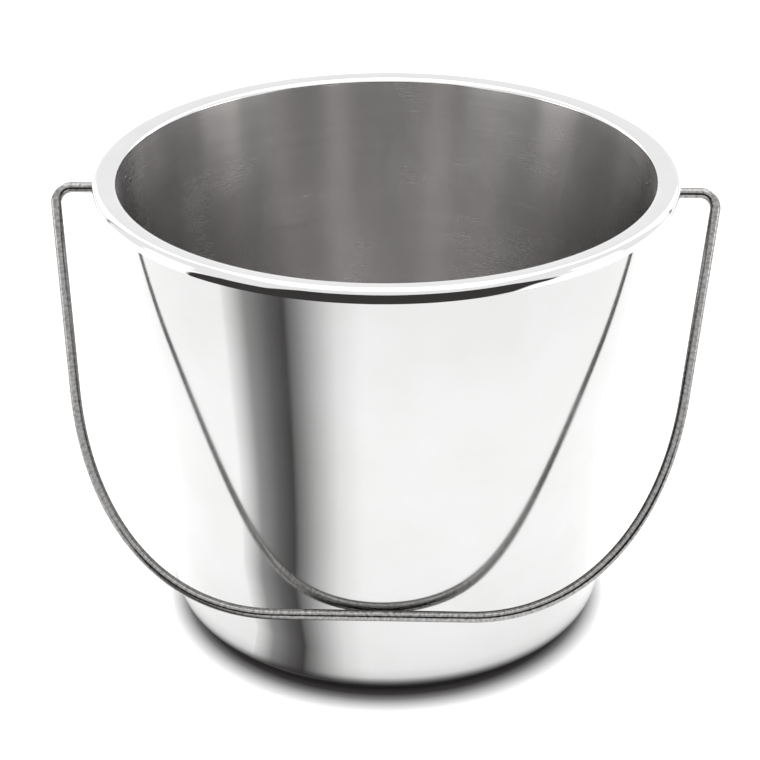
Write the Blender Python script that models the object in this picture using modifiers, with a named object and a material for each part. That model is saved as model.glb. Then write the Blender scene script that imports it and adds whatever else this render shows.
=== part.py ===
"""Stainless steel milking pail with a swinging wire bail.

Frame: metres, +Z up, origin at the centre of the flat base on the surface it stands on.
+X runs along the bail's hinge axis, -Y is the front, where the bail hangs down.

Pieces: one drawn sheet (pail_shell) with a curled rim, two pressed ears spot-welded to the
wall under the rim, and one wire bail whose headed ends turn in the ears.
"""
import math

import bmesh
import bpy
from mathutils import Matrix, Vector

# ---------------------------------------------------------------- driving dimensions
# pail_shell
SHEET = 0.0008                # sheet thickness of the pail
RIM_HEIGHT = 0.2198           # base to the centre of the rim's curl
RIM_RADIUS = 0.1320           # pail axis to the centre of the rim's curl
CURL_RADIUS = 0.00376         # outside radius of the curl's own section
CURL_TURN = math.radians(270) # sheet turned in the curl, which stays open at its hidden edge
FLARE_WIDTH = 0.00735         # inside of the straight wall, carried up, to the curl's centre
WALL_TAPER = 0.0865           # radius lost for each unit of depth
BASE_CORNER = 0.0127          # outside radius between wall and base
FLARE_RISE = 0.0010           # the straight wall ends this far above the curl's centre
FLARE_ANGLE = math.radians(85)  # lean of the sheet where the bend runs into the curl

# ears
EAR_SHEET = 0.0012            # thickness of the pressed ear
EAR_WIDTH = 0.0440            # along the rim
EAR_HEIGHT = 0.0160
EAR_CORNER = 0.0050           # corner radius of the ear's outline
EAR_JOGGLE = 0.0035           # run of the slope between crown and wing
EAR_HOLE_EDGE = 0.0012        # material left above the hole, under the curl
EAR_CROWN_SIDE = 0.0029       # flat of the crown beside the wire's head

# bail
WIRE_RADIUS = 0.0025
LEG_STANDOFF = 0.01924        # side of the curl to the leg, along the hinge axis
BAIL_DEPTH = 0.1972           # hinge axis to the middle of the grip
LEG_SLOPE = 0.151             # legs close in by this much for each unit of depth
LEG_STRAIGHT = 0.0960         # depth at which the straight leg turns into the corner
GRIP_HALF_LENGTH = 0.0440     # half of the almost straight grip
CORNER_LEG_REACH = 0.0590     # how strongly the corner follows the leg
CORNER_GRIP_REACH = 0.0527    # how strongly the corner follows the grip
SHOULDER_RADIUS = 0.0070      # centreline bend between the hinge stub and the leg
BAIL_SIDE_FLOAT = -0.0008     # the loop sits pushed to one side by its end play
BAIL_GRIP_DRIFT = -0.0027     # the grip of the hand-bent loop is off centre by this much
HEAD_LIP = 0.00085            # how far the upset head overlaps the edge of its hole
HEAD_LENGTH = 0.0014

# clearances
JOINT_GAP = 0.0003            # between pieces that touch
HINGE_CLEARANCE = 0.00025     # radial, wire in the ear's hole
HEAD_END_PLAY = 0.0011        # head to the back of the ear's crown, with the loop centred
REST_GAP = 0.0003             # wire to wall where the bail leans on the pail

# resolution
SHELL_STEPS = 64
CURL_STEPS = 20
CORNER_STEPS = 7
FLARE_STEPS = 7
WING_STEPS = 4
EAR_CORNER_STEPS = 5
HOLE_STEPS = 32
WIRE_BEVEL_STEPS = 3
SHOULDER_STEPS = 6
LEG_STEPS = 4
GRIP_CORNER_STEPS = 14
HEAD_STEPS = 20
WELD_DISTANCE = 0.000001
LEAN_PASSES = 60
EAR_SMOOTH_ANGLE = math.radians(30)
WIRE_SMOOTH_ANGLE = math.radians(40)

# ---------------------------------------------------------------- derived dimensions
TAPER_ANGLE = math.atan(WALL_TAPER)
MOUTH_RADIUS = RIM_RADIUS - FLARE_WIDTH
WALL_OUTER_AT_RIM = MOUTH_RADIUS + SHEET / math.cos(TAPER_ANGLE)
EAR_TOP = RIM_HEIGHT - CURL_RADIUS - JOINT_GAP
EAR_BOTTOM = EAR_TOP - EAR_HEIGHT
EAR_CUT_REACH = 10 * EAR_SHEET
EAR_HOLE_RADIUS = WIRE_RADIUS + HINGE_CLEARANCE
HINGE_HEIGHT = EAR_TOP - EAR_HOLE_EDGE - EAR_HOLE_RADIUS
HEAD_RADIUS = EAR_HOLE_RADIUS + HEAD_LIP
EAR_CROWN_WIDTH = 2 * (HEAD_RADIUS + EAR_CROWN_SIDE)
BAIL_HALF_SPAN = RIM_RADIUS + CURL_RADIUS + LEG_STANDOFF


def wall_outer_radius(height):
    """Outside of the straight wall at a height above the base."""
    return WALL_OUTER_AT_RIM - WALL_TAPER * (RIM_HEIGHT - height)


# ---------------------------------------------------------------- helpers
def clear_scene():
    for obj in list(bpy.data.objects):
        bpy.data.objects.remove(obj, do_unlink=True)


def make_collection(name):
    collection = bpy.data.collections.new(name)
    bpy.context.scene.collection.children.link(collection)
    return collection


def make_material(name, color, roughness):
    material = bpy.data.materials.new(name)
    material.use_nodes = True
    shader = material.node_tree.nodes["Principled BSDF"]
    shader.inputs["Base Color"].default_value = (*color, 1.0)
    shader.inputs["Metallic"].default_value = 1.0
    shader.inputs["Roughness"].default_value = roughness
    return material


def arc_points(centre, radius, start, turn, steps):
    """Points on an arc in the (radius, height) plane, both ends included."""
    points = []
    for step in range(steps + 1):
        angle = start + turn * step / steps
        points.append((centre[0] + radius * math.cos(angle), centre[1] + radius * math.sin(angle)))
    return points


def hermite_points(start, start_slope, end, end_slope, steps):
    """Points on a smooth curve between two ends, given the unit direction at each end."""
    reach = math.dist(start, end)
    points = []
    for step in range(steps + 1):
        t = step / steps
        a = 2 * t**3 - 3 * t**2 + 1
        b = (t**3 - 2 * t**2 + t) * reach
        c = -2 * t**3 + 3 * t**2
        d = (t**3 - t**2) * reach
        points.append(tuple(
            a * p + b * u + c * q + d * v
            for p, u, q, v in zip(start, start_slope, end, end_slope)
        ))
    return points


def mesh_object(name, collection, bm, material=None):
    mesh = bpy.data.meshes.new(name)
    bm.to_mesh(mesh)
    bm.free()
    obj = bpy.data.objects.new(name, mesh)
    collection.objects.link(obj)
    if material:
        mesh.materials.append(material)
    return obj


def as_cutter(obj):
    obj.hide_render = True
    obj.display_type = 'WIRE'
    return obj


def smooth(obj, angle):
    obj.data.shade_smooth()
    obj.data.set_sharp_from_angle(angle=angle)


def curve_to_mesh(curve_object, name, collection, material):
    """Turn a capped curve into a welded mesh object and remove the curve."""
    graph = bpy.context.evaluated_depsgraph_get()
    mesh = bpy.data.meshes.new_from_object(curve_object.evaluated_get(graph))
    bm = bmesh.new()
    bm.from_mesh(mesh)
    bmesh.ops.remove_doubles(bm, verts=bm.verts, dist=WELD_DISTANCE)
    bm.to_mesh(mesh)
    bm.free()
    obj = bpy.data.objects.new(name, mesh)
    obj.matrix_world = curve_object.matrix_world.copy()
    collection.objects.link(obj)
    mesh.materials.clear()
    mesh.materials.append(material)
    bpy.data.objects.remove(curve_object, do_unlink=True)
    return obj


# ---------------------------------------------------------------- pail_shell
def shell_profile():
    """The milk side of the sheet, from the base's centre up the wall and round the curl."""
    inner_corner = BASE_CORNER - SHEET
    corner_turn = math.pi / 2 - TAPER_ANGLE
    corner_height = SHEET + inner_corner
    lean = (math.sin(TAPER_ANGLE), math.cos(TAPER_ANGLE))
    # The corner's arc touches the base and the wall's straight line.
    wall_at_corner = MOUTH_RADIUS - WALL_TAPER * (RIM_HEIGHT - corner_height)
    corner_centre = (wall_at_corner - inner_corner / math.cos(TAPER_ANGLE), corner_height)
    points = [(0.0, SHEET), (corner_centre[0] / 2, SHEET)]
    points += arc_points(corner_centre, inner_corner, -math.pi / 2, corner_turn, CORNER_STEPS)

    # The flare starts on the straight wall and runs into the curl without a kink.
    flare_start = (MOUTH_RADIUS + WALL_TAPER * FLARE_RISE, RIM_HEIGHT + FLARE_RISE)
    flare_slope = (math.sin(FLARE_ANGLE), math.cos(FLARE_ANGLE))
    curl = arc_points((RIM_RADIUS, RIM_HEIGHT), CURL_RADIUS, math.pi - FLARE_ANGLE, -CURL_TURN,
                      CURL_STEPS)
    points.append(tuple((p + q) / 2 for p, q in zip(points[-1], flare_start)))
    points += hermite_points(flare_start, lean, curl[0], flare_slope, FLARE_STEPS)
    points += curl[1:]
    return points


def build_shell(collection, material):
    bm = bmesh.new()
    verts = [bm.verts.new((radius, 0.0, height)) for radius, height in shell_profile()]
    for first, second in zip(verts, verts[1:]):
        bm.edges.new((first, second))
    shell = mesh_object("pail_shell", collection, bm, material)
    screw = shell.modifiers.new("turn", 'SCREW')
    screw.axis = 'Z'
    screw.angle = math.tau
    screw.steps = SHELL_STEPS
    screw.render_steps = SHELL_STEPS
    screw.use_merge_vertices = True
    screw.merge_threshold = 0.00001
    screw.use_smooth_shade = True
    thickness = shell.modifiers.new("sheet", 'SOLIDIFY')
    thickness.thickness = SHEET
    thickness.offset = -1.0
    thickness.use_even_offset = True
    return shell


# ---------------------------------------------------------------- ears
def flare_outer_radius(height):
    """Outside of the flared wall at a height, between the straight wall and the curl."""
    profile = shell_profile()
    for low, high in zip(profile, profile[1:]):
        if low[1] <= height <= high[1]:
            share = (height - low[1]) / (high[1] - low[1])
            inner = low[0] + share * (high[0] - low[0])
            slope = math.atan2(high[0] - low[0], high[1] - low[1])
            return inner + SHEET / math.cos(slope)
    raise ValueError("height is outside the wall")


def crown_back_radius():
    """Pail's axis to the back of the crown: the head clears the flared wall behind it."""
    wall_behind_head = flare_outer_radius(HINGE_HEIGHT + HEAD_RADIUS)
    head_back = wall_behind_head + JOINT_GAP + abs(BAIL_SIDE_FLOAT)
    return head_back + HEAD_LENGTH + HEAD_END_PLAY


CROWN_BACK = crown_back_radius()


def ear_plan(height):
    """The ear's inner face seen from above at a height: wing, joggle, crown, joggle, wing."""
    wall = flare_outer_radius(height) + JOINT_GAP
    half_crown = EAR_CROWN_WIDTH / 2
    wing_start = half_crown + EAR_JOGGLE
    wing_end = EAR_WIDTH / 2 + EAR_CORNER
    half = []
    for step in range(WING_STEPS + 1):
        across = wing_end + (wing_start - wing_end) * step / WING_STEPS
        half.append((math.sqrt(wall**2 - across**2), -across))
    half.append((CROWN_BACK, -half_crown))
    mirrored = [(x, -y) for x, y in reversed(half)]
    return half + mirrored


def ear_outline(name, collection, side):
    """The ear's rounded outline in the YZ plane, extruded along X through the whole ear."""
    curve = bpy.data.curves.new(name, 'CURVE')
    curve.dimensions = '2D'
    curve.fill_mode = 'BOTH'
    curve.extrude = EAR_CUT_REACH
    across = EAR_WIDTH / 2 - EAR_CORNER
    low = EAR_BOTTOM + EAR_CORNER
    high = EAR_TOP - EAR_CORNER
    outline = []
    for quarter, centre in enumerate(((across, high), (-across, high), (-across, low), (across, low))):
        start = quarter * math.pi / 2
        outline += arc_points(centre, EAR_CORNER, start, math.pi / 2, EAR_CORNER_STEPS)
    spline = curve.splines.new('POLY')
    spline.points.add(len(outline) - 1)
    for point, (y, z) in zip(spline.points, outline):
        point.co = (y, z, 0.0, 1.0)
    spline.use_cyclic_u = True
    obj = bpy.data.objects.new(name, curve)
    collection.objects.link(obj)
    # The curve's own X, Y and Z become the world's Y, Z and X.
    turn = Matrix(((0, 0, 1), (1, 0, 0), (0, 1, 0))).to_4x4()
    obj.matrix_world = Matrix.Translation((side * RIM_RADIUS, 0, 0)) @ turn
    bpy.context.view_layer.update()
    return obj


def build_ear(name, side, collection, cutters, material):
    middle = (EAR_BOTTOM + EAR_TOP) / 2
    bm = bmesh.new()
    rows = []
    for height in (EAR_BOTTOM - JOINT_GAP, middle, HINGE_HEIGHT, EAR_TOP + JOINT_GAP):
        rows.append([bm.verts.new((side * x, y, height)) for x, y in ear_plan(height)])
    for lower, upper in zip(rows, rows[1:]):
        for index in range(len(lower) - 1):
            corners = (lower[index], lower[index + 1], upper[index + 1], upper[index])
            bm.faces.new(corners if side > 0 else reversed(corners))
    ear = mesh_object(name, collection, bm, material)
    sheet = ear.modifiers.new("sheet", 'SOLIDIFY')
    sheet.thickness = EAR_SHEET
    sheet.offset = 1.0
    sheet.use_even_offset = True
    # The joggles are ruled surfaces, so they are split before they are cut.
    ear.modifiers.new("flat_facets", 'TRIANGULATE')

    outline = ear_outline(name + "_outline_curve", cutters, side)
    blank = as_cutter(curve_to_mesh(outline, name + "_outline", cutters, material))
    trim = ear.modifiers.new("outline", 'BOOLEAN')
    trim.operation = 'INTERSECT'
    trim.object = blank

    bm = bmesh.new()
    turn = Matrix.Rotation(math.pi / 2, 4, 'Y')
    place = Matrix.Translation((side * CROWN_BACK, 0, HINGE_HEIGHT)) @ turn
    bmesh.ops.create_cone(bm, cap_ends=True, segments=HOLE_STEPS, radius1=EAR_HOLE_RADIUS,
                          radius2=EAR_HOLE_RADIUS, depth=EAR_CUT_REACH, matrix=place)
    drill = as_cutter(mesh_object(name + "_hole", cutters, bm))
    hole = ear.modifiers.new("hole", 'BOOLEAN')
    hole.object = drill
    return ear


# ---------------------------------------------------------------- bail
def bail_outline():
    """The wire's centreline, right head to left, as (along the axis, depth below it)."""
    leg = Vector((-LEG_SLOPE, 1.0))
    # The wire ends just inside its head.
    half = [Vector((CROWN_BACK - HEAD_END_PLAY - JOINT_GAP, 0.0))]

    # The shoulder bend touches the stub and the leg.
    corner_angle = math.pi / 2 - math.atan(LEG_SLOPE)
    bend_start = BAIL_HALF_SPAN - SHOULDER_RADIUS / math.tan(corner_angle / 2)
    bend_turn = math.pi - corner_angle
    bend = arc_points((bend_start, SHOULDER_RADIUS), SHOULDER_RADIUS, -math.pi / 2, bend_turn,
                      SHOULDER_STEPS)
    half += [Vector(point) for point in bend]

    leg_top = half[-1]
    leg_end = Vector((BAIL_HALF_SPAN, 0.0)) + leg * LEG_STRAIGHT
    for step in range(1, LEG_STEPS + 1):
        half.append(leg_top.lerp(leg_end, step / LEG_STEPS))

    grip_end = Vector((GRIP_HALF_LENGTH, BAIL_DEPTH))
    leg_pull = leg_end + leg.normalized() * CORNER_LEG_REACH
    grip_pull = grip_end + Vector((CORNER_GRIP_REACH, 0.0))
    for step in range(1, GRIP_CORNER_STEPS + 1):
        t = step / GRIP_CORNER_STEPS
        half.append(leg_end * (1 - t)**3 + leg_pull * 3 * (1 - t)**2 * t
                    + grip_pull * 3 * (1 - t) * t**2 + grip_end * t**3)
    half.append(Vector((GRIP_HALF_LENGTH / 2, BAIL_DEPTH)))
    left = [Vector((-point.x, point.y)) for point in reversed(half)]
    outline = half + [Vector((0.0, BAIL_DEPTH))] + left
    shifted = []
    for point in outline:
        drift = BAIL_SIDE_FLOAT + BAIL_GRIP_DRIFT * point.y / BAIL_DEPTH
        shifted.append(Vector((point.x + drift, point.y)))
    return shifted


def bail_lean():
    """Angle of the hanging bail from straight down, where its grip rests on the wall."""
    lean = 0.0
    for _ in range(LEAN_PASSES):
        grip_height = HINGE_HEIGHT - BAIL_DEPTH * math.cos(lean)
        wall = wall_outer_radius(grip_height)
        reach = wall + (WIRE_RADIUS + REST_GAP) / math.cos(TAPER_ANGLE)
        lean = math.asin(reach / BAIL_DEPTH)
    return lean


def build_bail(collection, material):
    lean = bail_lean()
    down = Vector((0.0, -math.sin(lean), -math.cos(lean)))
    curve = bpy.data.curves.new("bail_centreline", 'CURVE')
    curve.dimensions = '3D'
    curve.bevel_depth = WIRE_RADIUS
    curve.bevel_resolution = WIRE_BEVEL_STEPS
    curve.use_fill_caps = True
    outline = bail_outline()
    spline = curve.splines.new('POLY')
    spline.points.add(len(outline) - 1)
    for point, flat in zip(spline.points, outline):
        place = Vector((flat.x, 0.0, 0.0)) + down * flat.y
        point.co = (*place, 1.0)
    wire = bpy.data.objects.new("bail_centreline", curve)
    collection.objects.link(wire)
    bpy.context.view_layer.update()
    bail = curve_to_mesh(wire, "bail_handle", collection, material)
    bail.location = (0.0, 0.0, HINGE_HEIGHT)
    return bail, outline


def add_heads(bail, outline, cutters):
    """Upset a round head on each end of the wire, inside the ears."""
    for name, end, side in (("right", outline[0], 1), ("left", outline[-1], -1)):
        bm = bmesh.new()
        turn = Matrix.Rotation(math.pi / 2, 4, 'Y')
        middle = end.x - side * (HEAD_LENGTH / 2 - JOINT_GAP)
        place = Matrix.Translation((middle, 0.0, HINGE_HEIGHT)) @ turn
        bmesh.ops.create_cone(bm, cap_ends=True, segments=HEAD_STEPS, radius1=HEAD_RADIUS,
                              radius2=HEAD_RADIUS, depth=HEAD_LENGTH, matrix=place)
        head = as_cutter(mesh_object("bail_head_" + name, cutters, bm))
        join = bail.modifiers.new("head_" + name, 'BOOLEAN')
        join.operation = 'UNION'
        join.object = head


def main():
    clear_scene()
    parts = make_collection("milking_pail")
    cutters = make_collection("cutters")
    polished = make_material("polished_steel", (0.80, 0.80, 0.81), 0.12)
    pressed = make_material("pressed_steel", (0.72, 0.72, 0.73), 0.25)
    drawn = make_material("drawn_wire", (0.74, 0.74, 0.75), 0.20)
    build_shell(parts, polished)
    for name, side in (("ear_right", 1), ("ear_left", -1)):
        ear = build_ear(name, side, parts, cutters, pressed)
        smooth(ear, EAR_SMOOTH_ANGLE)
    bail, outline = build_bail(parts, drawn)
    add_heads(bail, outline, cutters)
    smooth(bail, WIRE_SMOOTH_ANGLE)


main()
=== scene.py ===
"""Looks of the stainless steel milking pail: fine meshes, materials, floor, light and camera.

Frame: metres, +Z up, origin at the centre of the flat base on the surface it stands on.
+X runs along the bail's hinge axis, -Y is the front, where the bail hangs down.
"""

import math

import bpy
from mathutils import Matrix, Vector


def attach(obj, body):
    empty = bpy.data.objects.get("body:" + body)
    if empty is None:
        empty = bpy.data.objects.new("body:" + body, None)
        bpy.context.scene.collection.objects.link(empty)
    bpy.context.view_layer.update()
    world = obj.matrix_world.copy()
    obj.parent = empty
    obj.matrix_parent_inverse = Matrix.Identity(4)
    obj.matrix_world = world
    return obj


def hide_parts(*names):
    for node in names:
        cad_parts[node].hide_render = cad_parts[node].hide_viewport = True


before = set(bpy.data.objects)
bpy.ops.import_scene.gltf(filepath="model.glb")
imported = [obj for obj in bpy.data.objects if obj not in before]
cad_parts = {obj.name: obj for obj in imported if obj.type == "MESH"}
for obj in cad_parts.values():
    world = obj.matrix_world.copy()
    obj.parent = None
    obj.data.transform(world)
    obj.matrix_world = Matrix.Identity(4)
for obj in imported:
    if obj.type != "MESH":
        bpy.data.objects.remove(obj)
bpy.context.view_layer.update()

# ---------------------------------------------------------------- the object's dimensions
SHEET = 0.0008                # sheet thickness of the pail
RIM_HEIGHT = 0.2198           # base to the centre of the rim's curl
RIM_RADIUS = 0.1320           # pail axis to the centre of the rim's curl
CURL_RADIUS = 0.00376         # outside radius of the curl's own section
CURL_TURN = math.radians(270) # sheet turned in the curl
FLARE_WIDTH = 0.00735         # inside of the straight wall, carried up, to the curl's centre
WALL_TAPER = 0.0865           # radius lost for each unit of depth
BASE_CORNER = 0.0127          # outside radius between wall and base
FLARE_RISE = 0.0010           # the straight wall ends this far above the curl's centre
FLARE_ANGLE = math.radians(85)  # lean of the sheet where the bend runs into the curl

EAR_SHEET = 0.0012            # thickness of the pressed ear
EAR_WIDTH = 0.0440            # along the rim
EAR_HEIGHT = 0.0160
EAR_CORNER = 0.0050           # corner radius of the ear's outline
EAR_JOGGLE = 0.0035           # run of the slope between crown and wing
EAR_HOLE_EDGE = 0.0012        # material left above the hole, under the curl
EAR_CROWN_SIDE = 0.0029       # flat of the crown beside the wire's head
EAR_WALL_GAP = 0.00005        # wing to the wall that it is welded to
WELD_RADIUS = 0.0013
WELD_CROWN = 0.00012          # height of a weld mark above the sheet
WELD_PLACES = ((0.0112, -0.0076), (0.0112, -0.0143), (0.0170, -0.0110))  # across, from the rim

WIRE_RADIUS = 0.0025
LEG_STANDOFF = 0.01905        # side of the curl to the leg; a little less than in part.py, so
                              # that the round wire stays in the box of the faceted one
BAIL_DEPTH = 0.1972           # hinge axis to the middle of the grip
LEG_SLOPE = 0.151             # legs close in by this much for each unit of depth
LEG_STRAIGHT = 0.0960         # depth at which the straight leg turns into the corner
GRIP_HALF_LENGTH = 0.0440     # half of the almost straight grip
CORNER_LEG_REACH = 0.0590     # how strongly the corner follows the leg
CORNER_GRIP_REACH = 0.0527    # how strongly the corner follows the grip
SHOULDER_RADIUS = 0.0070      # centreline bend between the hinge stub and the leg
BAIL_SIDE_FLOAT = -0.0008     # the loop sits pushed to one side by its end play
BAIL_GRIP_DRIFT = -0.0027     # the grip of the hand-bent loop is off centre by this much
HEAD_LIP = 0.00085            # how far the upset head overlaps the edge of its hole
HEAD_LENGTH = 0.0014
HEAD_DOME = 0.00045           # rise of the head's domed end

JOINT_GAP = 0.0003            # between pieces that touch
HINGE_CLEARANCE = 0.00025     # radial, wire in the ear's hole
HEAD_END_PLAY = 0.0011        # head to the back of the ear's crown, with the loop centred
REST_GAP = 0.0003             # wire to wall where the bail leans on the pail

TAPER_ANGLE = math.atan(WALL_TAPER)
MOUTH_RADIUS = RIM_RADIUS - FLARE_WIDTH
WALL_OUTER_AT_RIM = MOUTH_RADIUS + SHEET / math.cos(TAPER_ANGLE)
EAR_TOP = RIM_HEIGHT - CURL_RADIUS - JOINT_GAP
EAR_BOTTOM = EAR_TOP - EAR_HEIGHT
EAR_HOLE_RADIUS = WIRE_RADIUS + HINGE_CLEARANCE
HINGE_HEIGHT = EAR_TOP - EAR_HOLE_EDGE - EAR_HOLE_RADIUS
HEAD_RADIUS = EAR_HOLE_RADIUS + HEAD_LIP
HALF_CROWN = HEAD_RADIUS + EAR_CROWN_SIDE
BAIL_HALF_SPAN = RIM_RADIUS + CURL_RADIUS + LEG_STANDOFF

# ---------------------------------------------------------------- resolution
SHELL_SEGMENTS = 320
BASE_STEPS = 12
CORNER_STEPS = 16
WALL_STEPS = 36
FLARE_STEPS = 24
CURL_STEPS = 60
CORNER_BASE_SPANS = 8         # spans of the corner that look like the base
EAR_COLUMNS = 72
EAR_ROWS = 28
HOLE_STEPS = 48
DRILL_REACH = 0.006           # the drill's half length
WELD_STEPS = 20
WIRE_SEGMENTS = 28
SHOULDER_STEPS = 18
LEG_STEPS = 40
GRIP_CORNER_STEPS = 60
GRIP_STEPS = 20
HEAD_STEPS = 6
STUB_STEPS = 8
LEAN_PASSES = 60
CARD_STEPS = 24
OUTSIDE, RIM, INSIDE, BASE = range(4)

# ---------------------------------------------------------------- studio and camera
WORLD_STRENGTH = 1.12
FLOOR_REACH = 6.0
FLOOR_HEIGHT = -0.0002
FLOOR_GLOW = 0.35             # far from the pail
PAINTED_GLOW_ROUND_PAIL = 0.62              # painted pool of light round the pail
CARD_COLOR = (0.055, 0.050, 0.050, 1.0)
SOFTBOX_COLOR = (3.0, 2.94, 2.9, 1.0)
CARD_DISTANCE = 1.5           # pail axis to the dark cards
SOFTBOX_DISTANCE = 1.55
LEDGE_HEIGHT = 0.2125
FLOOR_SHADOW_CARD_HEIGHT = 0.0035
GROUND_HEIGHT = 0.004

LENS_MM = 95.76
SENSOR_MM = 36.0
CAMERA_PLACE = (0.02754, -0.87637, 0.57039)
CAMERA_PAN = math.radians(2.015)
CAMERA_TILT = math.radians(90.0 - 27.607)
CAMERA_ROLL = math.radians(-0.230)


# ---------------------------------------------------------------- curves and meshes
def arc_points(centre, radius, start, turn, steps):
    """Points on an arc in a plane, both ends included."""
    points = []
    for step in range(steps + 1):
        angle = start + turn * step / steps
        points.append((centre[0] + radius * math.cos(angle), centre[1] + radius * math.sin(angle)))
    return points


def hermite_points(start, start_slope, end, end_slope, steps):
    """Points on a smooth curve between two ends, given the unit direction at each end."""
    reach = math.dist(start, end)
    points = []
    for step in range(steps + 1):
        t = step / steps
        a = 2 * t**3 - 3 * t**2 + 1
        b = (t**3 - 2 * t**2 + t) * reach
        c = -2 * t**3 + 3 * t**2
        d = (t**3 - t**2) * reach
        points.append(tuple(
            a * p + b * u + c * q + d * v
            for p, u, q, v in zip(start, start_slope, end, end_slope)
        ))
    return points


def new_mesh_object(name, points, faces, materials, face_materials=None):
    mesh = bpy.data.meshes.new(name)
    mesh.from_pydata(points, [], faces)
    for material in materials:
        mesh.materials.append(material)
    if face_materials:
        mesh.polygons.foreach_set("material_index", face_materials)
    mesh.shade_smooth()
    mesh.validate()
    obj = bpy.data.objects.new(name, mesh)
    bpy.context.scene.collection.objects.link(obj)
    return obj


def turned_object(name, profile, segments, materials, zones):
    """Turn a profile that starts and ends on the Z axis. zones holds a material for each span."""
    points = []
    rings = []
    for radius, height in profile:
        if radius < 1e-9:
            rings.append([len(points)] * segments)
            points.append((0.0, 0.0, height))
            continue
        rings.append(list(range(len(points), len(points) + segments)))
        for step in range(segments):
            angle = math.tau * step / segments
            points.append((radius * math.cos(angle), radius * math.sin(angle), height))
    faces = []
    face_materials = []
    for lower, upper, zone in zip(rings, rings[1:], zones):
        for step in range(segments):
            after = (step + 1) % segments
            corners = [lower[step], upper[step], upper[after], lower[after]]
            faces.append(list(dict.fromkeys(corners)))
            face_materials.append(zone)
    return new_mesh_object(name, points, faces, materials, face_materials)


# ---------------------------------------------------------------- pail
def shell_lines():
    """Milk side of the sheet from the base's centre to the curl's hidden edge, with its zones."""
    inner_corner = BASE_CORNER - SHEET
    corner_turn = math.pi / 2 - TAPER_ANGLE
    corner_height = SHEET + inner_corner
    wall_at_corner = MOUTH_RADIUS - WALL_TAPER * (RIM_HEIGHT - corner_height)
    corner_centre = (wall_at_corner - inner_corner / math.cos(TAPER_ANGLE), corner_height)
    base = [(corner_centre[0] * step / BASE_STEPS, SHEET) for step in range(BASE_STEPS)]
    corner = arc_points(corner_centre, inner_corner, -math.pi / 2, corner_turn, CORNER_STEPS)

    flare_start = (MOUTH_RADIUS + WALL_TAPER * FLARE_RISE, RIM_HEIGHT + FLARE_RISE)
    wall = []
    for step in range(1, WALL_STEPS):
        share = step / WALL_STEPS
        wall.append(tuple(p + (q - p) * share for p, q in zip(corner[-1], flare_start)))

    lean = (math.sin(TAPER_ANGLE), math.cos(TAPER_ANGLE))
    flare_slope = (math.sin(FLARE_ANGLE), math.cos(FLARE_ANGLE))
    curl = arc_points((RIM_RADIUS, RIM_HEIGHT), CURL_RADIUS, math.pi - FLARE_ANGLE, -CURL_TURN,
                      CURL_STEPS)
    flare = hermite_points(flare_start, lean, curl[0], flare_slope, FLARE_STEPS)

    line = base + corner + wall + flare + curl[1:]
    zones = [BASE] * (len(base) + CORNER_BASE_SPANS)
    # The wall is INSIDE up to the bend. The bend and the curl are RIM.
    zones += [INSIDE] * (len(line) - len(flare) - len(curl) + 1 - len(zones))
    zones += [RIM] * (len(line) - 1 - len(zones))
    return line, zones


def build_shell(materials):
    inner, inner_zones = shell_lines()
    outer = []
    last = len(inner) - 1
    for index, point in enumerate(inner):
        before = inner[max(index - 1, 0)]
        after = inner[min(index + 1, last)]
        along = Vector((after[0] - before[0], after[1] - before[1])).normalized()
        away = Vector((along.y, -along.x))
        radius = point[0] + away.x * SHEET
        outer.append((0.0 if index == 0 else radius, point[1] + away.y * SHEET))
    outer_zones = [OUTSIDE if zone in (BASE, INSIDE) else RIM for zone in inner_zones]
    profile = outer + inner[::-1]
    zones = outer_zones + [RIM] + inner_zones[::-1]
    shell = turned_object("pail", profile, SHELL_SEGMENTS, materials, zones)
    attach(shell, "pail")
    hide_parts("pail_shell")


# ---------------------------------------------------------------- ears
def wall_at(height):
    """Milk side of the pail's wall at a height: its radius, and its lean from upright."""
    inner, _ = shell_lines()
    for low, high in zip(inner, inner[1:]):
        if high[1] > low[1] and low[1] <= height <= high[1]:
            share = (height - low[1]) / (high[1] - low[1])
            lean = math.atan2(high[0] - low[0], high[1] - low[1])
            return low[0] + share * (high[0] - low[0]), lean
    raise ValueError("height is outside the wall")


def wall_outer_radius(height):
    """Outside of the pail's wall at a height."""
    radius, lean = wall_at(height)
    return radius + SHEET / math.cos(lean)


def crown_back_radius():
    """Pail's axis to the back of the crown: the head clears the wall behind it."""
    head_back = wall_outer_radius(HINGE_HEIGHT + HEAD_RADIUS) + JOINT_GAP + abs(BAIL_SIDE_FLOAT)
    return head_back + HEAD_LENGTH + HEAD_END_PLAY


CROWN_BACK = crown_back_radius()


def ear_back(wall, across):
    """Distance of the ear's back face from the pail's middle plane, at one place across it."""
    wing = math.sqrt((wall + EAR_WALL_GAP)**2 - across**2)
    share = (HALF_CROWN + EAR_JOGGLE - abs(across)) / EAR_JOGGLE
    share = min(max(share, 0.0), 1.0)
    rise = share * share * (3 - 2 * share)
    return wing + (CROWN_BACK - wing) * rise


def ear_half_width(height):
    """The ear's outline: half its width at a height, with round corners."""
    edge = min(height - EAR_BOTTOM, EAR_TOP - height)
    if edge >= EAR_CORNER:
        return EAR_WIDTH / 2
    return EAR_WIDTH / 2 - EAR_CORNER + math.sqrt(EAR_CORNER**2 - (EAR_CORNER - edge)**2)


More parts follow.
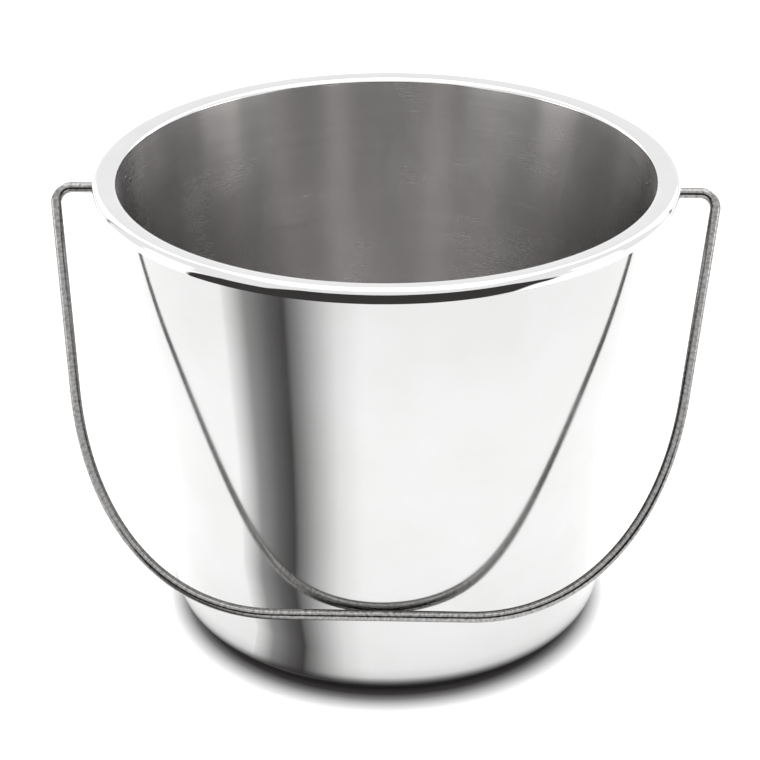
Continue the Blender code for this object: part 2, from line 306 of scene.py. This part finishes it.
def build_ear(node, side, material):
    name = "pressed_" + node
    rows = []
    for step in range(EAR_ROWS + 1):
        # Rows crowd together at the rounded top and bottom corners.
        share = (1 - math.cos(math.pi * step / EAR_ROWS)) / 2
        rows.append(EAR_BOTTOM + EAR_HEIGHT * share)
    points = []
    for sheet in (0.0, EAR_SHEET):
        for height in rows:
            wall = wall_outer_radius(height)
            half = ear_half_width(height)
            for column in range(EAR_COLUMNS + 1):
                across = half * (2 * column / EAR_COLUMNS - 1)
                points.append((side * (ear_back(wall, across) + sheet), across, height))
    width = EAR_COLUMNS + 1
    layer = width * len(rows)
    faces = []
    for row in range(len(rows) - 1):
        for column in range(EAR_COLUMNS):
            a = row * width + column
            faces.append((a, a + width, a + width + 1, a + 1))
            faces.append((layer + a, layer + a + 1, layer + a + width + 1, layer + a + width))
    border = list(range(width))
    border += [row * width + EAR_COLUMNS for row in range(1, len(rows))]
    border += [(len(rows) - 1) * width + column for column in range(EAR_COLUMNS - 1, -1, -1)]
    border += [row * width for row in range(len(rows) - 2, 0, -1)]
    for a, b in zip(border, border[1:] + border[:1]):
        faces.append((a, b, layer + b, layer + a))
    if side < 0:
        faces = [face[::-1] for face in faces]
    ear = new_mesh_object(name, points, faces, [material])

    edge = ear.modifiers.new("worn_edge", 'BEVEL')
    edge.width = 0.00022
    edge.segments = 2
    edge.limit_method = 'ANGLE'
    edge.angle_limit = math.radians(50)

    drill_points = []
    drill_faces = []
    circle = arc_points((0.0, HINGE_HEIGHT), EAR_HOLE_RADIUS, 0.0, math.tau, HOLE_STEPS)[:-1]
    for reach in (-DRILL_REACH, DRILL_REACH):
        for across, height in circle:
            drill_points.append((side * (CROWN_BACK + reach), across, height))
    for step in range(HOLE_STEPS):
        after = (step + 1) % HOLE_STEPS
        drill_faces.append((step, after, HOLE_STEPS + after, HOLE_STEPS + step))
    drill_faces.append(tuple(range(HOLE_STEPS))[::-1])
    drill_faces.append(tuple(range(HOLE_STEPS, 2 * HOLE_STEPS)))
    if side < 0:
        drill_faces = [face[::-1] for face in drill_faces]
    drill = new_mesh_object(name + "_drill", drill_points, drill_faces, [])
    drill.hide_render = True
    drill.hide_viewport = True
    hole = ear.modifiers.new("hole", 'BOOLEAN')
    hole.object = drill
    hole.solver = 'EXACT'
    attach(ear, "pail")
    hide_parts(node)


def add_dome(points, faces, centre, along, up, out):
    """A shallow round dome on a surface, one spot weld's mark."""
    rings = ((1.0, -0.3), (0.92, 0.35), (0.72, 0.8), (0.4, 1.0))
    start = len(points)
    for reach, rise in rings:
        for step in range(WELD_STEPS):
            angle = math.tau * step / WELD_STEPS
            flat = along * math.cos(angle) + up * math.sin(angle)
            points.append(tuple(centre + flat * WELD_RADIUS * reach + out * WELD_CROWN * rise))
    for ring in range(len(rings) - 1):
        for step in range(WELD_STEPS):
            after = (step + 1) % WELD_STEPS
            a = start + ring * WELD_STEPS
            b = a + WELD_STEPS
            faces.append((a + step, a + after, b + after, b + step))
    top = start + (len(rings) - 1) * WELD_STEPS
    faces.append(tuple(range(top, top + WELD_STEPS)))


def build_weld_marks(name, side, material):
    """Marks left by the welding tips: on the ear's wings and behind them inside the pail."""
    points = []
    faces = []
    up = Vector((0.0, 0.0, 1.0))
    for across, drop in WELD_PLACES:
        height = RIM_HEIGHT + drop
        inner, _ = wall_at(height)
        outer = wall_outer_radius(height) + EAR_WALL_GAP + EAR_SHEET
        for sign in (-1, 1):
            for radius, facing in ((inner, -1.0), (outer, 1.0)):
                turn = math.asin(sign * across / radius)
                radial = Vector((side * math.cos(turn), math.sin(turn), 0.0))
                out = radial * facing
                centre = radial * radius + up * height
                add_dome(points, faces, centre, up.cross(out), up, out)
    marks = new_mesh_object(name, points, faces, [material])
    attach(marks, "pail")


# ---------------------------------------------------------------- bail
def bail_lean():
    """Angle of the hanging bail from straight down, where its grip rests on the wall."""
    lean = 0.0
    for _ in range(LEAN_PASSES):
        grip_height = HINGE_HEIGHT - BAIL_DEPTH * math.cos(lean)
        wall = WALL_OUTER_AT_RIM - WALL_TAPER * (RIM_HEIGHT - grip_height)
        reach = wall + (WIRE_RADIUS + REST_GAP) / math.cos(TAPER_ANGLE)
        lean = math.asin(reach / BAIL_DEPTH)
    return lean


def half_bail():
    """The wire's centreline from the right shoulder to the middle, as (across, depth)."""
    leg = Vector((-LEG_SLOPE, 1.0))
    corner_angle = math.pi / 2 - math.atan(LEG_SLOPE)
    bend_start = BAIL_HALF_SPAN - SHOULDER_RADIUS / math.tan(corner_angle / 2)
    bend = arc_points((bend_start, SHOULDER_RADIUS), SHOULDER_RADIUS, -math.pi / 2,
                      math.pi - corner_angle, SHOULDER_STEPS)
    half = [Vector(point) for point in bend]
    leg_top = half[-1]
    leg_end = Vector((BAIL_HALF_SPAN, 0.0)) + leg * LEG_STRAIGHT
    for step in range(1, LEG_STEPS + 1):
        half.append(leg_top.lerp(leg_end, step / LEG_STEPS))
    grip_end = Vector((GRIP_HALF_LENGTH, BAIL_DEPTH))
    leg_pull = leg_end + leg.normalized() * CORNER_LEG_REACH
    grip_pull = grip_end + Vector((CORNER_GRIP_REACH, 0.0))
    for step in range(1, GRIP_CORNER_STEPS + 1):
        t = step / GRIP_CORNER_STEPS
        half.append(leg_end * (1 - t)**3 + leg_pull * 3 * (1 - t)**2 * t
                    + grip_pull * 3 * (1 - t) * t**2 + grip_end * t**3)
    for step in range(1, GRIP_STEPS):
        half.append(Vector((GRIP_HALF_LENGTH * (1 - step / GRIP_STEPS), BAIL_DEPTH)))
    return half


def stub_stations(bend_start):
    """(across, radius) from the head's domed end, over its lip, and along the stub."""
    outer = CROWN_BACK - HEAD_END_PLAY
    inner = outer - HEAD_LENGTH
    stations = [(inner, 0.0)]
    for step in range(1, HEAD_STEPS + 1):
        angle = math.pi / 2 * step / HEAD_STEPS
        # The dome ends just inside the head's edge.
        stations.append((inner + HEAD_DOME * (1 - math.cos(angle)),
                         HEAD_RADIUS * math.sin(angle) * 0.995))
    # Back of the head: a small round edge, then the step down to the wire.
    stations.append((outer - 0.00025, HEAD_RADIUS))
    stations.append((outer - 0.00008, HEAD_RADIUS - 0.00007))
    stations.append((outer, HEAD_RADIUS - 0.00025))
    stations.append((outer + 0.00002, WIRE_RADIUS + 0.00005))
    stations.append((outer + 0.00012, WIRE_RADIUS))
    first = outer + 0.0004
    for step in range(STUB_STEPS):
        stations.append((first + (bend_start - first) * step / STUB_STEPS, WIRE_RADIUS))
    return stations


def build_bail(material):
    """One swept wire from head to head, with UVs round it and along it in metres."""
    half = half_bail()
    stub = stub_stations(half[0].x)
    flat = [(Vector((across, 0.0)), radius) for across, radius in stub]
    flat += [(point, WIRE_RADIUS) for point in half]
    middle = [(Vector((0.0, BAIL_DEPTH)), WIRE_RADIUS)]
    mirrored = [(Vector((-point.x, point.y)), radius) for point, radius in flat[::-1]]
    stations = flat + middle + mirrored

    lean = bail_lean()
    down = Vector((0.0, -math.sin(lean), -math.cos(lean)))
    across = Vector((1.0, 0.0, 0.0))
    out = across.cross(down)
    hinge = Vector((0.0, 0.0, HINGE_HEIGHT))
    centres = []
    for point, _ in stations:
        drift = BAIL_SIDE_FLOAT + BAIL_GRIP_DRIFT * point.y / BAIL_DEPTH
        centres.append(Vector((point.x + drift, point.y)))
    points = []
    lengths = []
    travelled = 0.0
    last = len(stations) - 1
    for index, (centre, (_, radius)) in enumerate(zip(centres, stations)):
        before = centres[max(index - 1, 0)]
        after = centres[min(index + 1, last)]
        step = (after - before).normalized()
        if index:
            travelled += (centre - before).length
        lengths.append(travelled)
        normal = Vector((step.y, -step.x))
        side = across * normal.x + down * normal.y
        place = hinge + across * centre.x + down * centre.y
        for turn in range(WIRE_SEGMENTS):
            angle = math.tau * turn / WIRE_SEGMENTS
            points.append(place + (side * math.cos(angle) + out * math.sin(angle)) * radius)
    faces = []
    for index in range(last):
        for turn in range(WIRE_SEGMENTS):
            after = (turn + 1) % WIRE_SEGMENTS
            a = index * WIRE_SEGMENTS
            b = a + WIRE_SEGMENTS
            faces.append((a + turn, a + after, b + after, b + turn))
    bail = new_mesh_object("bail", [tuple(p) for p in points], faces, [material])
    uv = bail.data.uv_layers.new(name="along")
    loop = 0
    for index in range(last):
        for turn in range(WIRE_SEGMENTS):
            low, high = turn / WIRE_SEGMENTS, (turn + 1) / WIRE_SEGMENTS
            corners = ((low, lengths[index]), (high, lengths[index]),
                       (high, lengths[index + 1]), (low, lengths[index + 1]))
            for corner in corners:
                uv.data[loop].uv = corner
                loop += 1
    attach(bail, "bail")
    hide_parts("bail_handle")


# ---------------------------------------------------------------- materials
class Nodes:
    """Short ways to add and join shader nodes in one material."""

    def __init__(self, name):
        self.material = bpy.data.materials.new(name)
        self.material.use_nodes = True
        self.tree = self.material.node_tree
        self.shader = self.tree.nodes["Principled BSDF"]

    def add(self, kind, inputs=None, **settings):
        node = self.tree.nodes.new(kind)
        for key, value in settings.items():
            setattr(node, key, value)
        for key, value in (inputs or {}).items():
            self.put(node.inputs[key], value)
        return node

    def put(self, socket, value):
        if isinstance(value, bpy.types.NodeSocket):
            self.tree.links.new(value, socket)
        else:
            socket.default_value = value

    def math(self, operation, first, second=0.0):
        node = self.add("ShaderNodeMath", operation=operation)
        self.put(node.inputs[0], first)
        self.put(node.inputs[1], second)
        return node.outputs[0]

    def noise(self, vector, scale, detail, roughness=0.5):
        node = self.add("ShaderNodeTexNoise", {"Vector": vector, "Scale": scale, "Detail": detail,
                                               "Roughness": roughness})
        return node.outputs["Fac"]

    def spread(self, value, low, high, to_low, to_high):
        """Stretch a range of values to another range."""
        node = self.add("ShaderNodeMapRange", {"Value": value, "From Min": low, "From Max": high,
                                               "To Min": to_low, "To Max": to_high})
        return node.outputs["Result"]

    def from_axis(self, x, y):
        """Distance from the Z axis."""
        squares = self.math('ADD', self.math('POWER', x, 2.0), self.math('POWER', y, 2.0))
        return self.math('SQRT', squares)

    def grain_vector(self, around, across):
        """Coordinates stretched along circles about the pail's axis: brushing runs that way."""
        place = self.add("ShaderNodeTexCoord").outputs["Object"]
        split = self.add("ShaderNodeSeparateXYZ", {"Vector": place})
        x, y, z = split.outputs
        run = self.math('ADD', self.from_axis(x, y), z)
        joined = self.add("ShaderNodeCombineXYZ", {
            "X": self.math('MULTIPLY', x, around),
            "Y": self.math('MULTIPLY', y, around),
            "Z": self.math('MULTIPLY', run, across),
        })
        return joined.outputs["Vector"]


def steel(nodes, color, roughness, anisotropy):
    nodes.put(nodes.shader.inputs["Metallic"], 1.0)
    nodes.put(nodes.shader.inputs["Base Color"], color)
    nodes.put(nodes.shader.inputs["Roughness"], roughness)
    nodes.put(nodes.shader.inputs["Anisotropic"], anisotropy)


def tinted(nodes, factor, dark, light):
    mix = nodes.add("ShaderNodeMix", {"Factor": factor}, data_type='RGBA')
    nodes.put(mix.inputs["A"], (*dark, 1.0))
    nodes.put(mix.inputs["B"], (*light, 1.0))
    return mix.outputs["Result"]


def brushed_material(name, roughness, anisotropy, depth, dark, light):
    """Steel brushed in circles about the pail's axis, with faint water marks."""
    nodes = Nodes(name)
    grain = nodes.noise(nodes.grain_vector(9.0, 1300.0), 1.0, 5.0, 0.6)
    coarse = nodes.noise(nodes.grain_vector(3.0, 220.0), 1.0, 3.0)
    place = nodes.add("ShaderNodeTexCoord").outputs["Object"]
    marks = nodes.noise(place, 24.0, 4.0, 0.55)
    streaks = nodes.math('ADD', nodes.math('MULTIPLY', grain, 0.7),
                         nodes.math('MULTIPLY', coarse, 0.3))
    rough = nodes.spread(streaks, 0.3, 0.7, roughness * 0.93, roughness * 1.07)
    rough = nodes.math('ADD', rough, nodes.spread(marks, 0.45, 0.75, 0.0, 0.035))
    tone = nodes.math('ADD', nodes.math('MULTIPLY', marks, 0.8),
                      nodes.math('MULTIPLY', streaks, 0.2))
    color = tinted(nodes, nodes.spread(tone, 0.35, 0.65, 0.0, 1.0), dark, light)
    steel(nodes, color, rough, anisotropy)
    tangent = nodes.add("ShaderNodeTangent", direction_type='RADIAL', axis='Z')
    nodes.put(nodes.shader.inputs["Tangent"], tangent.outputs["Tangent"])
    nodes.put(nodes.shader.inputs["Anisotropic Rotation"], 0.25)
    bump = nodes.add("ShaderNodeBump", {"Height": streaks, "Strength": 1.0, "Distance": depth})
    nodes.put(nodes.shader.inputs["Normal"], bump.outputs["Normal"])
    return nodes.material


def polished_material(name, roughness, dark, light):
    """Polished steel with fine hair scratches and slightly uneven shine."""
    nodes = Nodes(name)
    place = nodes.add("ShaderNodeTexCoord").outputs["Object"]
    marks = nodes.noise(place, 60.0, 3.0)
    hair = nodes.noise(nodes.grain_vector(25.0, 2600.0), 1.0, 2.0)
    scratches = nodes.spread(hair, 0.62, 0.72, 0.0, 0.09)
    uneven = nodes.spread(marks, 0.3, 0.7, roughness * 0.7, roughness * 1.3)
    rough = nodes.math('ADD', uneven, scratches)
    color = tinted(nodes, marks, dark, light)
    steel(nodes, color, rough, 0.0)
    ripple = nodes.noise(place, 35.0, 1.0)
    bump = nodes.add("ShaderNodeBump", {"Height": ripple, "Strength": 1.0, "Distance": 0.00004})
    nodes.put(nodes.shader.inputs["Normal"], bump.outputs["Normal"])
    return nodes.material


def pressed_material(name):
    """Cold-pressed ear: satin, with rolling lines and darker handled patches."""
    nodes = Nodes(name)
    place = nodes.add("ShaderNodeTexCoord").outputs["Object"]
    marks = nodes.noise(place, 160.0, 4.0)
    stretch = nodes.add("ShaderNodeMapping", {"Vector": place, "Scale": (400.0, 60.0, 2200.0)})
    lines = nodes.noise(stretch.outputs["Vector"], 1.0, 3.0)
    rough = nodes.spread(nodes.math('ADD', marks, lines), 0.7, 1.3, 0.16, 0.34)
    color = tinted(nodes, marks, (0.26, 0.255, 0.25), (0.38, 0.375, 0.37))
    steel(nodes, color, rough, 0.2)
    bump = nodes.add("ShaderNodeBump", {"Height": lines, "Strength": 1.0, "Distance": 0.000012})
    nodes.put(nodes.shader.inputs["Normal"], bump.outputs["Normal"])
    return nodes.material


def wire_material(name):
    """Drawn wire: long die lines and small dull pits, on a colour kept dark as painted shade."""
    nodes = Nodes(name)
    uv = nodes.add("ShaderNodeUVMap", uv_map="along").outputs["UV"]
    lines_place = nodes.add("ShaderNodeMapping", {"Vector": uv, "Scale": (16.0, 90.0, 1.0)})
    lines = nodes.noise(lines_place.outputs["Vector"], 1.0, 4.0, 0.6)
    pits_place = nodes.add("ShaderNodeMapping", {"Vector": uv, "Scale": (7.0, 620.0, 1.0)})
    pits = nodes.noise(pits_place.outputs["Vector"], 1.0, 3.0, 0.6)
    both = nodes.math('ADD', nodes.math('MULTIPLY', lines, 0.5),
                      nodes.math('MULTIPLY', pits, 0.5))
    rough = nodes.spread(both, 0.35, 0.65, 0.07, 0.24)
    # The colour is kept low as painted shade, in place of the dark surroundings that the wire
    # reflects; the pits vary it.
    color = tinted(nodes, nodes.spread(pits, 0.3, 0.6, 0.0, 1.0),
                   (0.16, 0.157, 0.155), (0.34, 0.335, 0.33))
    steel(nodes, color, rough, 0.0)
    bump = nodes.add("ShaderNodeBump", {"Height": both, "Strength": 1.0, "Distance": 0.00002})
    nodes.put(nodes.shader.inputs["Normal"], bump.outputs["Normal"])
    return nodes.material


# ---------------------------------------------------------------- studio
def stage_plane(name, corners, material):
    obj = new_mesh_object(name, corners, [tuple(range(len(corners)))], [material])


def reflection_only(obj):
    """Show a card in the steel and nowhere else."""
    obj.visible_camera = False
    obj.visible_diffuse = False
    obj.visible_shadow = False
    obj.visible_transmission = False


def floor_material():
    """Pale glowing table top, with painted light round the pail and a painted contact shadow round
    its base.
    """
    nodes = Nodes("pale_floor")
    place = nodes.add("ShaderNodeTexCoord").outputs["Object"]
    cloud = nodes.noise(place, 3.0, 2.0)
    pale = tinted(nodes, cloud, (0.84, 0.84, 0.84), (0.86, 0.86, 0.86))
    nodes.put(nodes.shader.inputs["Roughness"], 0.8)
    nodes.put(nodes.shader.inputs["Specular IOR Level"], 0.1)
    nodes.put(nodes.shader.inputs["Emission Color"], (1.0, 1.0, 1.0, 1.0))
    x, y, _ = nodes.add("ShaderNodeSeparateXYZ", {"Vector": place}).outputs
    # The dark patch is painted, a little to the front. It stands in for a contact shadow.
    radius = nodes.from_axis(x, nodes.math('ADD', y, 0.007))
    clear = nodes.spread(radius, 0.097, 0.112, 0.0, 1.0)
    patch = nodes.add("ShaderNodeMix", {"Factor": clear}, data_type='RGBA')
    nodes.put(patch.inputs["A"], (0.08, 0.075, 0.075, 1.0))
    nodes.put(patch.inputs["B"], pale)
    nodes.put(nodes.shader.inputs["Base Color"], patch.outputs["Result"])
    # The glow rises to a painted pool of light round the pail, then falls to the even glow far
    # out.
    rise = nodes.spread(radius, 0.101, 0.117, 0.0, PAINTED_GLOW_ROUND_PAIL)
    fall = nodes.spread(radius, 0.140, 0.400, PAINTED_GLOW_ROUND_PAIL, FLOOR_GLOW)
    nodes.put(nodes.shader.inputs["Emission Strength"], nodes.math('MINIMUM', rise, fall))
    return nodes.material


def card_material(name, stops, one_sided=False, color=CARD_COLOR):
    """Glowing card that covers by a share given at places across it. It may face one way only."""
    material = bpy.data.materials.new(name)
    material.use_nodes = True
    tree = material.node_tree
    tree.nodes.clear()
    link = tree.links.new
    out = tree.nodes.new("ShaderNodeOutputMaterial")
    mix = tree.nodes.new("ShaderNodeMixShader")
    clear = tree.nodes.new("ShaderNodeBsdfTransparent")
    face = tree.nodes.new("ShaderNodeEmission")
    face.inputs["Color"].default_value = color
    across = tree.nodes.new("ShaderNodeTexCoord")
    split = tree.nodes.new("ShaderNodeSeparateXYZ")
    ramp = tree.nodes.new("ShaderNodeValToRGB")
    elements = ramp.color_ramp.elements
    while len(elements) < len(stops):
        elements.new(0.5)
    for element, (place, cover) in zip(elements, stops):
        element.position = place
        element.color = (cover, cover, cover, 1.0)
    link(across.outputs["UV"], split.inputs[0])
    link(split.outputs[0], ramp.inputs[0])
    cover_socket = ramp.outputs[0]
    if one_sided:
        side = tree.nodes.new("ShaderNodeNewGeometry")
        front = tree.nodes.new("ShaderNodeMath")
        front.operation = 'SUBTRACT'
        front.inputs[0].default_value = 1.0
        link(side.outputs["Backfacing"], front.inputs[1])
        both = tree.nodes.new("ShaderNodeMath")
        both.operation = 'MULTIPLY'
        link(front.outputs[0], both.inputs[0])
        link(cover_socket, both.inputs[1])
        cover_socket = both.outputs[0]
    link(cover_socket, mix.inputs[0])
    link(clear.outputs[0], mix.inputs[1])
    link(face.outputs[0], mix.inputs[2])
    link(mix.outputs[0], out.inputs[0])
    return material


def polar(radius, azimuth, height):
    """A point given by its distance from the pail's axis and its angle left of the front."""
    angle = math.radians(azimuth)
    return (-radius * math.sin(angle), -radius * math.cos(angle), height)


def card(name, material, edges):
    """A card through (radius, height, first azimuth, last azimuth) lines."""
    points = []
    for radius, height, first, last in edges:
        for step in range(CARD_STEPS + 1):
            azimuth = first + (last - first) * step / CARD_STEPS
            points.append(polar(radius, azimuth, height))
    faces = []
    for row in range(len(edges) - 1):
        for step in range(CARD_STEPS):
            a = row * (CARD_STEPS + 1) + step
            b = a + CARD_STEPS + 1
            faces.append((a, a + 1, b + 1, b))
    obj = new_mesh_object(name, points, faces, [material])
    uv = obj.data.uv_layers.new(name="across")
    for loop in obj.data.loops:
        uv.data[loop.index].uv = ((loop.vertex_index % (CARD_STEPS + 1)) / CARD_STEPS, 0.5)
    reflection_only(obj)


def area_light(name, place, aim, width, depth, power):
    light = bpy.data.lights.new(name, 'AREA')
    light.shape = 'RECTANGLE'
    light.size = width
    light.size_y = depth
    light.energy = power
    obj = bpy.data.objects.new(name, light)
    obj.location = place
    obj.rotation_euler = (Vector(aim) - Vector(place)).to_track_quat('-Z', 'Y').to_euler()
    bpy.context.scene.collection.objects.link(obj)


def build_studio():
    world = bpy.data.worlds.new("studio")
    world.use_nodes = True
    background = world.node_tree.nodes["Background"]
    background.inputs["Color"].default_value = (1.0, 1.0, 1.0, 1.0)
    background.inputs["Strength"].default_value = WORLD_STRENGTH
    bpy.context.scene.world = world

    near, far = -FLOOR_REACH, FLOOR_REACH
    square = ((near, near), (far, near), (far, far), (near, far))
    corners = [(x, y, FLOOR_HEIGHT) for x, y in square]
    stage_plane("floor", corners, floor_material())

    # Each card is a list of (radius, height, first azimuth, last azimuth) lines.
    room = card_material("room_card", [(0.0, 0.0), (0.03, 1.0), (0.97, 1.0), (1.0, 0.0)])
    ledge = card_material("ledge_card", [(0.0, 0.0), (0.02, 1.0), (0.97, 1.0), (1.0, 0.0)],
                          one_sided=True)
    seam = card_material("seam_card", [(0.0, 0.0), (0.5, 0.9), (1.0, 0.0)])
    softbox = card_material("softbox_card", [(0.0, 0.0), (0.2, 1.0), (0.8, 1.0), (1.0, 0.0)],
                            color=SOFTBOX_COLOR)
    # Cover across the painted shadow of the pail on the floor in front of it, seen only in the
    # steel.
    floor_shadow = card_material("floor_shadow_card", [
        (0.0, 0.1), (0.1, 0.42), (0.18, 0.73), (0.34, 0.9), (0.46, 0.97), (0.50, 0.86),
        (0.56, 0.75), (0.667, 0.5), (0.81, 0.17), (0.96, 0.02), (1.0, 0.0),
    ])
    card("dark_room", room, [
        (CARD_DISTANCE, 0.0, 43.0, -66.0),
        (CARD_DISTANCE, 0.3, 40.0, -60.0),
        (CARD_DISTANCE, 0.85, 31.0, -49.0),
    ])
    card("dark_ground", room, [
        (0.60, GROUND_HEIGHT, 56.0, -60.0),
        (CARD_DISTANCE, GROUND_HEIGHT, 43.0, -66.0),
    ])
    card("dark_ledge", ledge, [
        (0.60, LEDGE_HEIGHT, 56.0, -55.0),
        (0.25, LEDGE_HEIGHT, 45.0, -45.0),
        (0.155, LEDGE_HEIGHT, 40.0, -36.0),
        (0.136, LEDGE_HEIGHT, 39.0, -27.0),
        (0.132, LEDGE_HEIGHT, 38.5, -18.0),
        (0.1295, LEDGE_HEIGHT, 38.0, -10.0),
    ])
    for name, first, last, top_first, top_last in (
        ("seam_left", 122.0, 118.0, 126.0, 114.0),
        ("seam_right", -132.0, -128.0, -136.0, -124.0),
    ):
        card(name, seam, [
            (CARD_DISTANCE, 0.0, first, last),
            (CARD_DISTANCE, 0.8, first, last),
            (1.0, 1.5, first, last),
            (0.3, 1.66, top_first, top_last),
        ])
    for name, turn in (("left", 1.0), ("right", -1.0)):
        card("softbox_" + name, softbox, [
            (SOFTBOX_DISTANCE, 0.30, 70.0 * turn, 96.0 * turn),
            (SOFTBOX_DISTANCE, 0.75, 70.0 * turn, 96.0 * turn),
        ])
        card("softbox_back_" + name, softbox, [
            (SOFTBOX_DISTANCE, 0.40, 120.0 * turn, 148.0 * turn),
            (1.10, 1.70, 120.0 * turn, 148.0 * turn),
        ])
    # A painted shadow of the pail on the floor in front, seen only in the steel: it gives the dark
    # strip in the wall's reflection.
    card("gap_in_light", floor_shadow, [
        (0.106, FLOOR_SHADOW_CARD_HEIGHT, 36.0, 3.0),
        (0.13, FLOOR_SHADOW_CARD_HEIGHT, 40.5, 4.0),
        (0.17, FLOOR_SHADOW_CARD_HEIGHT, 52.0, 6.0),
        (0.25, FLOOR_SHADOW_CARD_HEIGHT, 57.0, 6.0),
        (0.39, FLOOR_SHADOW_CARD_HEIGHT, 63.0, 6.0),
        (0.50, FLOOR_SHADOW_CARD_HEIGHT, 66.0, 6.0),
    ])
    area_light("top_softbox", (0.0, 0.15, 1.7), (0.0, 0.0, 0.1), 1.7, 1.7, 12.0)


def build_camera():
    camera = bpy.data.cameras.new("camera")
    camera.sensor_width = SENSOR_MM
    camera.lens = LENS_MM
    camera.clip_start = 0.05
    camera.clip_end = 50.0
    obj = bpy.data.objects.new("camera", camera)
    bpy.context.scene.collection.objects.link(obj)
    turn = (Matrix.Rotation(CAMERA_PAN, 4, 'Z') @ Matrix.Rotation(CAMERA_TILT, 4, 'X')
            @ Matrix.Rotation(CAMERA_ROLL, 4, 'Z'))
    obj.matrix_world = Matrix.Translation(CAMERA_PLACE) @ turn
    bpy.context.scene.camera = obj


# ---------------------------------------------------------------- put together
outside = brushed_material("body_brushed", 0.07, 0.80, 0.000002,
                           (0.545, 0.545, 0.54), (0.575, 0.575, 0.575))
# The inside's colour is set below the outside's as painted shade inside the pail; its brushing and
# water marks are its own.
inside = brushed_material("inside_brushed", 0.25, 1.0, 0.0000002,
                          (0.485, 0.472, 0.47), (0.53, 0.519, 0.516))
rim = polished_material("rim_polished", 0.06, (0.68, 0.68, 0.68), (0.74, 0.74, 0.74))
pressed = pressed_material("ear_pressed")
wire = wire_material("wire_drawn")

build_shell([outside, rim, inside, inside])
build_ear("ear_right", 1, pressed)
build_ear("ear_left", -1, pressed)
build_weld_marks("weld_marks_right", 1, rim)
build_weld_marks("weld_marks_left", -1, rim)
build_bail(wire)
build_studio()
build_camera()

scene = bpy.context.scene
scene.view_settings.view_transform = 'Standard'
scene.cycles.glossy_bounces = 12
